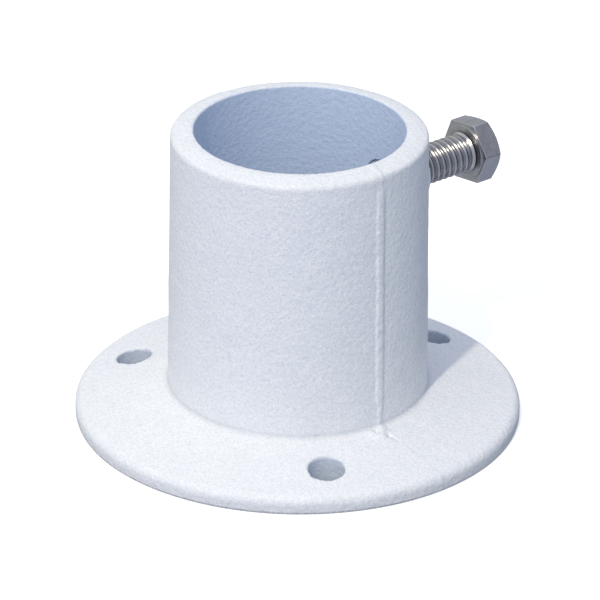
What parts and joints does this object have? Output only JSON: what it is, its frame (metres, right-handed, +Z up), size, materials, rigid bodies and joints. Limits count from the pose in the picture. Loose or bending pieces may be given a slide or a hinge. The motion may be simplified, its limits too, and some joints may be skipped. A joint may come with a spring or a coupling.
{
  "type": "stanchion base",
  "caption": "Round deck flange with an upright tube socket; a hex-head set bolt through the socket's boss clamps a stanchion or rail tube.",
  "frame": {"origin": "centre of the flange's flat bottom face, on the socket's axis", "axes": "+Z up along the socket's axis, +X out along the set bolt towards its head"},
  "size_m": [0.1115, 0.1084, 0.0747],
  "materials": {
    "white_coat": "satin",
    "stainless": "satin"
  },
  "bodies": {
    "base": {"base_casting": "white_coat"},
    "bolt": {"set_bolt": "stainless"}
  },
  "joints": [
    {"name": "set_bolt_travel", "type": "slide", "parent": "base", "child": "bolt", "axis": [-1, 0, 0], "range_m": [-0.005, 0.016]}
  ]
}
